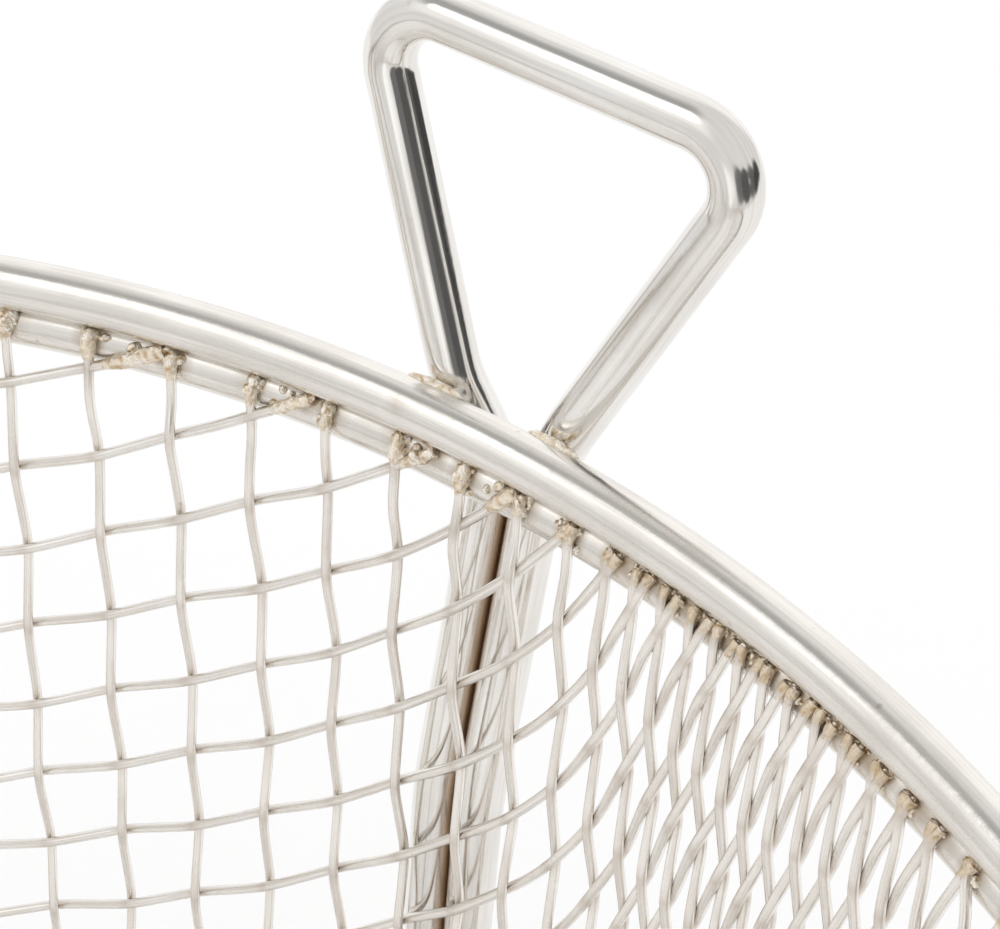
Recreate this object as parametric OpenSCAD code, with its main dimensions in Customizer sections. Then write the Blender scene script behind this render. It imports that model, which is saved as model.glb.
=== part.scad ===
// Round fryer basket of plated steel wire, in millimetres.
//
// A bowl pressed from plain-woven wire hangs in two rings: its top edge wraps
// a bead ring, which is brazed under the rim ring. One closed wire, bent double,
// makes the front hook, the cradle under the bowl and the handle.
//
// The middle of the bowl is at X = Y = 0 and the table is at Z = 0. +X points
// to the front hook and -X to the handle.

/* [Bowl] */
// Radius of the weave's middle surface where it meets the bead ring
bowl_top_r = 98; // [88:0.5:120]
// Height of that edge above the table
bowl_top_z = 130; // [115:1:145]
// How far the wall leans out from upright, in degrees
wall_taper = 12.5; // [8:0.5:14]
// Bend radius between wall and floor, in the middle of the weave
corner_r = 24; // [18:1:28]

/* [Weave] */
// Distance between neighbouring wires of the cloth before it was pressed
weave_pitch = 6.35; // [6:0.05:7]
// The cloth is drawn with one wire in this many
drawn_every = 5; // [4:1:6]
// Diameter of a drawn wire
weave_wire_d = 1.7; // [1.2:0.1:2.2]
// Height of the wave that takes a wire over and under its neighbours
weave_crimp = 0.25; // [0.1:0.05:0.5]
// Angle from the hook round to the nearest wires that run straight up the wall
weave_turn = 31; // [0:1:45]

/* [Rings] */
// Wire diameter of the rim ring on top
rim_wire_d = 3.3; // [2.8:0.1:5]
// Wire diameter of the bead ring that the cloth is wrapped on
bead_wire_d = 3.1; // [2.4:0.1:3.6]
// Direction from the bead ring up to the rim ring, above level
ring_stack_angle = 90; // [60:1:90]

/* [Carrier wire] */
// Diameter of the wire of the hook, cradle and handle
carrier_wire_d = 3.2; // [2.8:0.1:4]
// Gap between its two runs where they lie side by side
run_gap = 0.1; // [0.1:0.05:0.4]
// How far below the bowl's edge the runs leave the wall
lay_drop = 26; // [20:1:36]
// Bend radius where the runs leave the wall
lay_bend_r = 30; // [20:1:40]

/* [Front hook] */
// Length of the hook's legs above their bend at the rim ring, middle to middle
hook_rise = 21.5; // [16:0.5:40]
// How far the hook leans out from upright, in degrees
hook_lean = 19; // [5:1:30]
// Width of the hook's top bar between the middles of its corners
hook_bar_w = 27.2; // [20:0.2:44]
// Distance between the legs, middle to middle, at their bend at the rim ring
hook_neck_w = 8.6; // [7:0.1:12]
// Bend radius of the hook's two corners, in the middle of the wire
hook_corner_r = 3.4; // [2.6:0.1:6]
// Bend radius of the legs at the rim ring
hook_foot_r = 6; // [3:0.5:8]
// Bend radius where the legs come together below the rim
neck_bend_r = 6; // [4:0.5:7]

/* [Handle] */
// Reach of the handle's end beyond the rim ring
handle_reach = 212; // [150:1:260]
// Rise of the handle above level, in degrees
handle_rise = 14; // [8:1:20]
// Height of the handle's root bend above the rim ring's middle
handle_root_h = 13; // [12:0.5:20]
// Bend radius at the handle's root
handle_root_r = 10; // [6:0.5:12]
// Distance between the handle's two runs, middle to middle
handle_w = 22; // [16:0.5:30]
// Length of side-by-side wire between the root and the start of the spread
handle_neck_len = 30; // [20:1:50]
// Length over which the two runs spread apart
handle_spread_len = 36; // [30:1:60]
// Bend radius at both ends of the spread
handle_spread_r = 40; // [20:1:50]
// Bend radius of the handle's end
handle_end_r = 7.5; // [4:0.5:7.5]

/* [Seats] */
// Space left between pieces that the real basket brazes face to face
seat_gap = 0.05; // [0.02:0.01:0.1]

/* [Hidden] */

bright_nickel = [0.86, 0.85, 0.82];
warm_nickel = [0.78, 0.75, 0.69];

round_facets = 48;
rod_lap = 0.1;
rod_step = 0.02;
weave_sides = 6;
knots_per_wire = 4;
knot_tries = 7;

// Half the cloth's thickness, and how far a run's middle lies from the cloth's.
weave_half = weave_wire_d / 2 + weave_crimp;
run_off = weave_half + carrier_wire_d / 2 + seat_gap;

// The bowl's profile: a flat floor, a round corner and a straight leaning wall.
floor_z = carrier_wire_d + seat_gap + weave_half;
corner_turn = 90 - wall_taper;
foot_z = floor_z + corner_r * (1 - sin(wall_taper));
foot_r = bowl_top_r - (bowl_top_z - foot_z) * tan(wall_taper);
floor_r = foot_r - corner_r * cos(wall_taper);
corner_len = corner_r * corner_turn * PI / 180;
wall_len = (bowl_top_z - foot_z) / cos(wall_taper);
bowl_len = floor_r + corner_len + wall_len;

// The cloth's ends stop this far above the bead ring's middle, along the wall.
edge_len = bead_wire_d / 4;

// Directions across the wall, and the middles of the two rings' wires as [r, z].
wall_out = [cos(wall_taper), -sin(wall_taper)];
wall_up = [sin(wall_taper), cos(wall_taper)];
bowl_edge = [bowl_top_r, bowl_top_z];
bead_c = bowl_edge + (weave_half + bead_wire_d / 2 + seat_gap) * wall_out;
ring_dist = (rim_wire_d + bead_wire_d) / 2 + seat_gap;
rim_c = bead_c + ring_dist * [cos(ring_stack_angle), sin(ring_stack_angle)];

// The runs pass upright outside both rings, and lie on the cloth lower down.
rim_pass = (rim_wire_d + carrier_wire_d) / 2 + seat_gap;
bead_pass = (bead_wire_d + carrier_wire_d) / 2 + seat_gap;
pass_r = max(rim_c.x + rim_pass, bead_c.x + bead_pass);
wall_run = bowl_edge + run_off * wall_out;
run_y = (carrier_wire_d + run_gap) / 2;
run_z = carrier_wire_d / 2;

// Where two lines meet in the [r, z] plane, each a point and a direction.
function meet(p, u, q, v) =
    p + u * ((q.x - p.x) * v.y - (q.y - p.y) * v.x) / (u.x * v.y - u.y * v.x);

function unit(v) = v / norm(v);

// Point of the cloth's middle surface, at arc length s from the floor's centre.
function bowl_point(s, azimuth) =
    let (turn = (s - floor_r) / corner_len * corner_turn,
         up = s - floor_r - corner_len,
         r = s < floor_r ? s : up < 0 ? floor_r + corner_r * sin(turn) : foot_r + up * wall_up.x,
         z = s < floor_r ? floor_z : up < 0 ? floor_z + corner_r * (1 - cos(turn)) : foot_z + up * wall_up.y)
    [r * cos(azimuth), r * sin(azimuth), z];

// Arc length from the floor's centre to the place on the surface nearest to p.
function arc_at(p) =
    let (r = norm([p.x, p.y]),
         up = (r - foot_r) * wall_up.x + (p.z - foot_z) * wall_up.y,
         turn = atan2(r - floor_r, floor_z + corner_r - p.z))
    r < floor_r ? r : up > 0 ? floor_r + corner_len + up : floor_r + corner_len * min(turn / corner_turn, 1);

function on_bowl(p) = bowl_point(arc_at(p), atan2(p.y, p.x));

// Direction out of the bowl at a place on its surface.
function bowl_out(p) =
    let (turn = max(0, min(1, (arc_at(p) - floor_r) / corner_len)) * corner_turn,
         azimuth = atan2(p.y, p.x))
    [sin(turn) * cos(azimuth), sin(turn) * sin(azimuth), -cos(turn)];

// Distance between knots of the cloth, with a few from one drawn wire to the next.
knot_pitch = weave_pitch * drawn_every / knots_per_wire;

// A knot of the pressed cloth lies one step from the two knots before it. The
// wires don't stretch, so the square openings lean into diamonds on the wall.
function settle(p, a, b, tries) =
    tries == 0 ? p :
    settle(on_bowl(p + (p - a) * (knot_pitch / norm(p - a) - 1)
                     + (p - b) * (knot_pitch / norm(p - b) - 1)), a, b, tries - 1);

function knot(a, b, c) = settle(on_bowl(a + b - c), a, b, knot_tries);

function next_row(last, i) =
    [for (j = 0, p = bowl_point(i * knot_pitch, 0);
          j <= knots;
          j = j + 1, p = j <= knots ? knot(last[j], p, last[j - 1]) : p) p];

// One quarter of the cloth's knots: row i, place j. The rest are mirror images.
knots = ceil(bowl_len / knot_pitch) + 3;
cloth =
    [for (i = 0, row = [for (j = [0:knots]) bowl_point(j * knot_pitch, 90)];
          i <= knots;
          i = i + 1, row = i <= knots ? next_row(row, i) : row) row];

// The drawn wires lie half a step off the middle, and cross at each second half
// step. The outermost stays a knot clear of the edge.
half_step = knots_per_wire / 2;
last_wire = floor((bowl_len / knot_pitch - half_step - 1) / knots_per_wire);
drawn_wires = [-last_wire - 1 : last_wire];
trim_len = weave_pitch / 2;
cloth_end = bowl_len + edge_len;

// Whether a place is in or next to the corner's bend, where a wire needs every knot.
function bends_at(p) = abs(arc_at(p) - floor_r - corner_len / 2) < corner_len / 2 + knot_pitch;

// Half of one drawn wire, from the middle out to the bead ring. Each point has
// its crimp: +1 over, -1 under, 0 between crossings.
function half_wire(row, over) =
    let (on_wire = [for (j = [0:knots]) if (j % half_step == 0 || bends_at(row[j])) j],
         inside = [for (j = on_wire) if (arc_at(row[j]) < cloth_end - trim_len) j],
         n = len(inside),
         last = row[inside[n - 1]],
         beyond = row[on_wire[n]],
         reach = (cloth_end - arc_at(last)) / (arc_at(beyond) - arc_at(last)))
    concat([for (j = inside) [row[j], over * sin(90 * j / half_step)]],
           [[on_bowl(last + reach * (beyond - last)), 0]]);

function flip_y(w) = [[w[0].x, -w[0].y, w[0].z], -w[1]];

// A whole drawn wire, number k of its family, as points and crimps.
function drawn_wire(k) =
    let (i = abs(k * knots_per_wire + half_step),
         side = k < 0 ? -1 : 1,
         over = (k < 0 ? -k - 1 : k) % 2 == 0 ? side : -side,
         half = half_wire(cloth[i], over),
         n = len(half))
    [for (w = concat([for (m = [n - 1:-1:1]) flip_y(half[m])], half))
        [[side * w[0].x, w[0].y, w[0].z], w[1]]];

// The crimp fades out where the wires are pinned on the bead ring.
function crimped(w) =
    let (fade = max(0, min(1, (bowl_len - arc_at(w[0])) / (2 * knot_pitch))))
    w[0] + bowl_out(w[0]) * w[1] * fade * weave_crimp;

function swap_xy(p) = [p.y, p.x, p.z];

// A closed tube through points, with the given outward direction at each.
module tube(points, outs, d, sides) {
    n = len(points);
    rings = [for (i = [0:n - 1])
        let (along = unit(points[min(i + 1, n - 1)] - points[max(i - 1, 0)]),
             across = unit(cross(along, outs[i])),
             out = cross(across, along))
        for (m = [0:sides - 1])
            points[i] + d / 2 * (out * cos(360 * m / sides) + across * sin(360 * m / sides))];
    start_cap = [[for (m = [0:sides - 1]) m]];
    end_cap = [[for (m = [sides - 1:-1:0]) (n - 1) * sides + m]];
    walls = [for (i = [0:n - 2]) for (m = [0:sides - 1])
        let (next = (m + 1) % sides)
        [i * sides + m, (i + 1) * sides + m, (i + 1) * sides + next, i * sides + next]];
    polyhedron(rings, concat(start_cap, end_cap, walls), convexity = 6);
}

// One family of drawn wires. The other family is the same with X and Y swapped.
module wire_family(swapped) {
    for (k = drawn_wires) {
        wire = drawn_wire(k);
        lifted = [for (w = wire) crimped([w[0], swapped ? -w[1] : w[1]])];
        outs = [for (w = wire) bowl_out(w[0])];
        tube([for (p = lifted) swapped ? swap_xy(p) : p],
             [for (p = outs) swapped ? swap_xy(p) : p],
             weave_wire_d, weave_sides);
    }
}

// The pressed bowl of woven wire, fused at its crossings.
module mesh_bowl() {
    color(warm_nickel)
        rotate([0, 0, weave_turn])
            union() {
                wire_family(false);
                wire_family(true);
            }
}

module wire_ring(centre, d) {
    rotate_extrude($fn = 4 * round_facets)
        translate(centre)
            circle(d = d, $fn = round_facets);
}

// Lower ring, outside the cloth's edge, with the cloth's ends wrapped on it.
module bead_ring() {
    color(warm_nickel)
        wire_ring(bead_c, bead_wire_d);
}

// Upper ring, which carries the carrier wire's runs on its outside.
module rim_ring() {
    color(bright_nickel)
        wire_ring(rim_c, rim_wire_d);
}

// Straight length of round wire between two points.
module rod(p, q, d) {
    v = q - p;
    translate(p)
        rotate([0, acos(v.z / norm(v)), atan2(v.y, v.x)])
            cylinder(h = norm(v), d = d, $fn = round_facets);
}

// Distance from a corner to where its bend starts.
function bend_len(a, c, b, r) =
    r * tan(acos(max(-1, min(1, unit(c - a) * unit(b - c)))) / 2);

// Round bend of radius r that takes a wire past corner c, from a towards b.
module bend(a, c, b, r, d) {
    along = unit(c - a);
    onward = unit(b - c);
    turn = acos(max(-1, min(1, along * onward)));
    inward = unit(onward - along * (along * onward));
    up = cross(along, inward);
    start = c - along * bend_len(a, c, b, r);
    centre = start + inward * r;
    multmatrix([[-inward.x, along.x, up.x, centre.x],
                [-inward.y, along.y, up.y, centre.y],
                [-inward.z, along.z, up.z, centre.z]])
        rotate_extrude(angle = turn, $fn = 2 * round_facets)
            translate([r, 0])
                circle(d = d, $fn = round_facets);
}

// Closed round wire through corners, each with its bend radius. A straight
// length is a hair thinner than the bends and reaches a hair into them.
module wire_loop(corners, radii, d) {
    n = len(corners);
    cuts = [for (i = [0:n - 1])
        bend_len(corners[(i + n - 1) % n], corners[i], corners[(i + 1) % n], radii[i]) - rod_lap];
    for (i = [0:n - 1]) {
        next = (i + 1) % n;
        along = unit(corners[next] - corners[i]);
        rod(corners[i] + along * cuts[i], corners[next] - along * cuts[next], d - rod_step);
        bend(corners[(i + n - 1) % n], corners[i], corners[next], radii[i], d);
    }
}

// Places a point of the hook side's [r, z] plane at width y.
function front(p, y) = [p.x, y, p.y];
function back(p, y) = [-p.x, y, p.y];

// The hook leans out from where its legs clear the rim ring, and the legs come
// together below it.
hook_foot = [pass_r, rim_c.y + rim_pass * tan(hook_lean / 2)];
hook_top = hook_foot + hook_rise * [sin(hook_lean), cos(hook_lean)];
leg_spread = (hook_bar_w - hook_neck_w) / 2 / hook_rise;
legs_join = hook_foot - [0, (hook_neck_w / 2 - run_y) / leg_spread];

// The cradle, down the wall, round the corner and under the floor.
lay_on = wall_run - lay_drop * wall_up;
under_corner = meet(wall_run, wall_up, [0, run_z], [1, 0]);

// The handle, which turns out of the runs above the rim ring.
handle_dir = [cos(handle_rise), sin(handle_rise)];
handle_root = [pass_r, rim_c.y + handle_root_h];
handle_end = handle_root + (handle_reach / handle_dir.x) * handle_dir;
spread_start = handle_root + handle_neck_len * handle_dir;
spread_end = spread_start + handle_spread_len * handle_dir;

// One side of the closed carrier wire as corners and bend radii, from the
// hook's bar to the handle's end. The other side is its mirror image.
carrier_side = [
    [front(hook_top, hook_bar_w / 2), hook_corner_r],
    [front(hook_foot, hook_neck_w / 2), hook_foot_r],
    [front(legs_join, run_y), neck_bend_r],
    [front(lay_on, run_y), lay_bend_r],
    [front(under_corner, run_y), corner_r + run_off],
    [back(under_corner, run_y), corner_r + run_off],
    [back(lay_on, run_y), lay_bend_r],
    [back(legs_join, run_y), neck_bend_r],
    [back(handle_root, run_y), handle_root_r],
    [back(spread_start, run_y), handle_spread_r],
    [back(spread_end, handle_w / 2), handle_spread_r],
    [back(handle_end, handle_w / 2), handle_end_r],
];

// One closed wire, bent double: front hook, cradle and handle.
module carrier_wire() {
    n = len(carrier_side);
    other_side = [for (i = [n - 1:-1:0])
        let (c = carrier_side[i]) [[c[0].x, -c[0].y, c[0].z], c[1]]];
    loop = concat(carrier_side, other_side);
    color(bright_nickel)
        wire_loop([for (c = loop) c[0]], [for (c = loop) c[1]], carrier_wire_d);
}

mesh_bowl();
bead_ring();
rim_ring();
carrier_wire();
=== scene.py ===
"""Looks of a round fryer basket: nickel-plated wire, woven cloth, braze and its studio.

Lengths are in metres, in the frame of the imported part: the bowl's middle is at
X = Y = 0, the table at Z = 0, the front hook at +X and the handle at -X.
"""

import logging
import math
from dataclasses import dataclass, field
from enum import Enum
from typing import Any

import bpy
import numpy as np
from mathutils import Matrix, Vector
from mathutils.kdtree import KDTree


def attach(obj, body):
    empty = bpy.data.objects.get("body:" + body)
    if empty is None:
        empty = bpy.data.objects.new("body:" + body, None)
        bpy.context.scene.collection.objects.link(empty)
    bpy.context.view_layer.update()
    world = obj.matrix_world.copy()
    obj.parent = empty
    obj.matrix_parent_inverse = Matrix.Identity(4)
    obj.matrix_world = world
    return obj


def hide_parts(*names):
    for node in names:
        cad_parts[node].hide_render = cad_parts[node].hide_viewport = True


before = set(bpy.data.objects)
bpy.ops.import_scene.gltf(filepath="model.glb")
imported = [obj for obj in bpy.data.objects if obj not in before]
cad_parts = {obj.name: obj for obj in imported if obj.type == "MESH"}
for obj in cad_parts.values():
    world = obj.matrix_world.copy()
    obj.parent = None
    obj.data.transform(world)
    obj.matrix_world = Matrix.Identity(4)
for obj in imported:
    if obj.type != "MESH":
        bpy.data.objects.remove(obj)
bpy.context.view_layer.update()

LOG = logging.getLogger("fryer_basket")
MM = 0.001
BODY = "root"
GIRTH = "girth"
# Brown from 0 to 1 on each point: real stains, and also painted shade and shadow.
STAIN_AND_SHADE = "stain_and_shade"
ALONG = "along"
AROUND = "around"
STREAK_SPEED = 16.0
VALUE_SOCKET = "NodeSocketFloat"
WHOLE_SOCKET = "NodeSocketInt"
WIRE_INPUTS = {"Diameter": VALUE_SOCKET, "Sides": WHOLE_SOCKET, "Material": "NodeSocketMaterial"}
LUMP_INPUTS = {"Lump Scale": VALUE_SOCKET, "Lump Height": VALUE_SOCKET, "Seed": VALUE_SOCKET}

Colour = tuple[float, float, float]


class Slot(Enum):
    """The record's material slots."""

    CLOTH = "woven_wire"
    RINGS = "ring_wire"
    CARRIER = "carrier_wire"


class Family(Enum):
    """The cloth's two families of wires, by the way they run near the hook."""

    WARP = "warp"
    SHUTE = "shute"


class Grade(Enum):
    """How finely a group of cloth wires is swept."""

    NEAR = "near"
    FAR = "far"


def unit(vectors: np.ndarray) -> np.ndarray:
    """Returns vectors scaled to length 1 along the last axis."""
    return vectors / np.linalg.norm(vectors, axis=-1, keepdims=True)


def smoothstep(low: float, high: float, value: np.ndarray) -> np.ndarray:
    """Eased 0 to 1 ramp between two bounds.

    Args:
        low: Where the ramp starts.
        high: Where it ends.
        value: The values to ease.

    Returns:
        The eased values, from 0 to 1.
    """
    t = np.clip((value - low) / (high - low), 0.0, 1.0)
    return t * t * (3 - 2 * t)


@dataclass(frozen=True)
class WireRing:
    """A closed ring of round wire, level, round the Z axis.

    Args:
        radius: Of the wire's middle line.
        height: Of the wire's middle line.
        wire: Diameter of the wire.
    """

    radius: float
    height: float
    wire: float

    def loop(self, count: int) -> np.ndarray:
        """Returns count points of the wire's middle line, from the handle's side round."""
        turn = np.arange(count) / count * 2 * math.pi
        flat = [-self.radius * np.cos(turn), -self.radius * np.sin(turn)]
        return np.stack([*flat, np.full(count, self.height)], axis=-1)


@dataclass(frozen=True)
class BowlForm:
    """The pressed bowl's profile, its two rings and the cloth's seat on the bead ring.

    The cloth's wires follow the bowl's middle surface by arc length from the
    floor's centre. Past the edge they wrap round the bead ring, up to the
    groove below the rim ring.
    """

    top_radius: float = 98 * MM
    top_height: float = 130 * MM
    taper: float = math.radians(12.5)
    corner_radius: float = 24 * MM
    carrier_wire: float = 3.2 * MM
    half_cloth: float = 1.1 * MM
    seat_gap: float = 0.05 * MM
    bead_wire: float = 3.1 * MM
    rim_wire: float = 3.3 * MM
    cloth_wire: float = 0.68 * MM

    @property
    def floor_height(self) -> float:
        """Height of the floor's middle surface."""
        return self.carrier_wire + self.seat_gap + self.half_cloth

    @property
    def foot(self) -> tuple[float, float]:
        """Radius and height where the wall meets the corner's bend."""
        height = self.floor_height + self.corner_radius * (1 - math.sin(self.taper))
        radius = self.top_radius - (self.top_height - height) * math.tan(self.taper)
        return radius, height

    @property
    def floor_radius(self) -> float:
        """Radius of the flat floor."""
        return self.foot[0] - self.corner_radius * math.cos(self.taper)

    @property
    def corner_length(self) -> float:
        """Arc length of the corner's bend."""
        return self.corner_radius * (math.pi / 2 - self.taper)

    @property
    def edge_length(self) -> float:
        """Arc length from the floor's centre to the bowl's edge."""
        wall = (self.top_height - self.foot[1]) / math.cos(self.taper)
        return self.floor_radius + self.corner_length + wall

    @property
    def bead(self) -> WireRing:
        """The lower ring, just outside the cloth's edge."""
        reach = self.half_cloth + self.bead_wire / 2 + self.seat_gap
        radius = self.top_radius + reach * math.cos(self.taper)
        height = self.top_height - reach * math.sin(self.taper)
        return WireRing(radius, height, self.bead_wire)

    @property
    def rim(self) -> WireRing:
        """The upper ring, right above the bead ring."""
        rise = (self.rim_wire + self.bead_wire) / 2 + self.seat_gap
        return WireRing(self.bead.radius, self.bead.height + rise, self.rim_wire)

    @property
    def wrap_radius(self) -> float:
        """From the bead ring's middle line to that of a cloth wire wrapped on it."""
        return (self.bead_wire + self.cloth_wire) / 2

    @property
    def groove_turn(self) -> float:
        """Angle up the bead ring, from level, where a wrapped wire meets the rim ring."""
        to_rim = (self.rim_wire + self.cloth_wire) / 2
        apart = self.rim.height - self.bead.height
        cosine = (self.wrap_radius**2 + apart**2 - to_rim**2) / (2 * self.wrap_radius * apart)
        return math.pi / 2 - math.acos(cosine)

    @property
    def wrap_length(self) -> float:
        """Length of a straight wire's wrap on the bead ring."""
        return self.wrap_radius * (self.groove_turn - self.taper)

    def profile(self, length: np.ndarray) -> tuple[np.ndarray, np.ndarray, np.ndarray]:
        """Radius, height and slope of the middle surface.

        Args:
            length: Arc lengths from the floor's centre.

        Returns:
            Radii, heights, and the surface's turn from level in radians.
        """
        foot_radius, foot_height = self.foot
        turn = np.clip((length - self.floor_radius) / self.corner_radius, 0, math.pi / 2 - self.taper)
        up = np.maximum(length - self.floor_radius - self.corner_length, 0)
        bent_radius = self.floor_radius + self.corner_radius * np.sin(turn)
        bent_height = self.floor_height + self.corner_radius * (1 - np.cos(turn))
        on_floor = length < self.floor_radius
        radius = np.where(on_floor, length, bent_radius + up * math.sin(self.taper))
        height = np.where(on_floor, self.floor_height, bent_height + up * math.cos(self.taper))
        return radius, height, turn

    def arc_at(self, points: np.ndarray) -> np.ndarray:
        """Arc lengths of the surface places nearest to points.

        Args:
            points: Rows of X, Y, Z.

        Returns:
            One arc length from the floor's centre for each point.
        """
        foot_radius, foot_height = self.foot
        radius = np.hypot(points[..., 0], points[..., 1])
        height = points[..., 2]
        up = (radius - foot_radius) * math.sin(self.taper) + (height - foot_height) * math.cos(self.taper)
        turn = np.arctan2(radius - self.floor_radius, self.floor_height + self.corner_radius - height)
        bent = self.floor_radius + self.corner_radius * np.clip(turn, 0, math.pi / 2 - self.taper)
        on_wall = self.floor_radius + self.corner_length + up
        return np.where(radius < self.floor_radius, radius, np.where(up > 0, on_wall, bent))

    def onto(self, points: np.ndarray) -> np.ndarray:
        """Returns points moved to the nearest places of the middle surface."""
        radius, height, _ = self.profile(self.arc_at(points))
        scale = radius / np.maximum(np.hypot(points[..., 0], points[..., 1]), 1e-9)
        return np.stack([points[..., 0] * scale, points[..., 1] * scale, height], axis=-1)

    def place(self, length: np.ndarray, azimuth: np.ndarray, lift: np.ndarray) -> np.ndarray:
        """Points of a cloth wire's middle line.

        Args:
            length: Arc lengths from the floor's centre.
            azimuth: Angles round the Z axis.
            lift: Distances out of the bowl, from the middle surface.

        Returns:
            Rows of X, Y, Z. Lengths past the edge go round the bead ring.
        """
        radius, height, turn = self.profile(length)
        radius = radius + lift * np.sin(turn)
        height = height - lift * np.cos(turn)
        wrapped = length > self.edge_length
        climb = self.taper + (length - self.edge_length) / self.wrap_radius
        radius = np.where(wrapped, self.bead.radius - self.wrap_radius * np.cos(climb), radius)
        height = np.where(wrapped, self.bead.height + self.wrap_radius * np.sin(climb), height)
        return np.stack([radius * np.cos(azimuth), radius * np.sin(azimuth), height], axis=-1)


@dataclass
class PressedNet:
    """Knots of cloth pressed onto the bowl without stretching its wires.

    Net coordinates count pitches from the cloth's centre along its two
    straight lines. One quarter is worked out, and the rest mirrors it.

    Args:
        form: The bowl's profile.
        pitch: Distance between neighbouring wires of the flat cloth.
        steps: Knots worked out for each pitch.
        tries: Times that a knot is settled between its neighbours.
    """

    form: BowlForm
    pitch: float = 6.35 * MM
    steps: int = 3
    tries: int = 9
    knots: np.ndarray = field(init=False)

    def __post_init__(self) -> None:
        """Works out the quarter's knots, one diagonal after another."""
        step = self.pitch / self.steps
        count = int(math.ceil(self.form.edge_length / step)) + 4 * self.steps
        along = np.arange(count) * step
        knots = np.zeros((count, count, 3))
        radius, height, _ = self.form.profile(along)
        knots[:, 0] = np.stack([radius, 0 * radius, height], axis=-1)
        knots[0, :] = np.stack([0 * radius, radius, height], axis=-1)
        for diagonal in range(2, 2 * count - 1):
            i = np.arange(max(1, diagonal - count + 1), min(diagonal, count))
            j = diagonal - i
            one, other, before = knots[i - 1, j], knots[i, j - 1], knots[i - 1, j - 1]
            spot = self.form.onto(one + other - before)
            for _ in range(self.tries):
                gap_one = np.linalg.norm(spot - one, axis=-1, keepdims=True)
                gap_other = np.linalg.norm(spot - other, axis=-1, keepdims=True)
                pull = (spot - one) * (step / gap_one - 1) + (spot - other) * (step / gap_other - 1)
                spot = self.form.onto(spot + pull)
            knots[i, j] = spot
        self.knots = knots

    def at(self, u: np.ndarray, v: np.ndarray) -> tuple[np.ndarray, np.ndarray]:
        """Place on the bowl for net coordinates.

        Args:
            u: Pitches along the first straight line, signed.
            v: Pitches along the second, signed.

        Returns:
            Arc lengths from the floor's centre, and azimuths from the first line.
        """
        most = len(self.knots) - 2
        a = np.minimum(np.abs(u) * self.steps, most)
        b = np.minimum(np.abs(v) * self.steps, most)
        i, j = a.astype(int), b.astype(int)
        s, t = (a - i)[..., None], (b - j)[..., None]
        low = self.knots[i, j] * (1 - s) + self.knots[i + 1, j] * s
        high = self.knots[i, j + 1] * (1 - s) + self.knots[i + 1, j + 1] * s
        spot = low * (1 - t) + high * t
        azimuth = np.arctan2(spot[..., 1] * np.sign(v + 1e-12), spot[..., 0] * np.sign(u + 1e-12))
        return self.form.arc_at(spot), azimuth


@dataclass(frozen=True)
class Unevenness:
    """Small smooth drift of the cloth's wires, as hand-set cloth has.

    Args:
        seed: Fixes the drift.
        waves: Number of waves that are added.
        size: Largest drift of one wave, in pitches.
        shortest: Shortest wave, in pitches.
        longest: Longest wave, in pitches.
    """

    seed: int = 804
    waves: int = 7
    size: float = 0.022
    shortest: float = 3.0
    longest: float = 9.0

    def drift(self, u: np.ndarray, v: np.ndarray) -> tuple[np.ndarray, np.ndarray]:
        """Returns the drift along both net coordinates, in pitches."""
        rng = np.random.default_rng(self.seed)
        moved = [np.zeros_like(u), np.zeros_like(v)]
        for _ in range(self.waves):
            for axis in (0, 1):
                heading = rng.uniform(0, 2 * math.pi)
                number = 2 * math.pi / rng.uniform(self.shortest, self.longest)
                phase = rng.uniform(0, 2 * math.pi)
                along = u * math.cos(heading) + v * math.sin(heading)
                moved[axis] = moved[axis] + self.size * np.sin(number * along + phase)
        return moved[0], moved[1]


@dataclass(frozen=True)
class FrontPull:
    """Slow drift of the cloth near the hook, where the press drew it along.

    Offsets are in pitches, and so are the places they depend on.

    Args:
        middle: Net coordinates of the drift's middle.
        span: Pitches over which the drift's terms grow to their size.
        limit: Spans beyond which the terms grow no more.
        hold: Distance from the middle up to which the drift is whole.
        fade: Distance at which it has faded out.
    """

    middle: tuple[float, float] = (23.0, 9.0)
    span: float = 6.0
    limit: float = 1.3
    hold: float = 9.0
    fade: float = 24.0
    lift: float = 0.18
    lift_along: float = -0.28
    lift_across: float = -0.08
    lift_twist: float = -0.43
    lift_bow: float = -0.51
    lean: float = -0.15
    lean_along: float = 0.42
    lean_bow: float = -0.04

    def drift(self, u: np.ndarray, v: np.ndarray) -> tuple[np.ndarray, np.ndarray]:
        """Returns the drift along both net coordinates, in pitches."""
        along, across = u - self.middle[0], v - self.middle[1]
        x = np.clip(along / self.span, -self.limit, self.limit)
        y = np.clip(across / self.span, -self.limit, self.limit)
        share = 1 - smoothstep(self.hold, self.fade, np.hypot(along, across))
        lift = self.lift + self.lift_along * x + self.lift_across * y
        lift = lift + self.lift_twist * x * y + self.lift_bow * y * y
        lean = self.lean + self.lean_along * x + self.lean_bow * x * x
        return share * lift, share * lean


@dataclass
class Strand:
    """One wire's middle line with a value at each point.

    Args:
        points: Rows of X, Y, Z.
        girth: Thickness at each point, as a share of the wire's diameter.
        stain_and_shade: Brown at each point, from 0 to 1, for real stains and for painted shade.
        closed: Whether the end joins the start.
    """

    points: np.ndarray
    girth: np.ndarray
    stain_and_shade: np.ndarray
    closed: bool = False


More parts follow.
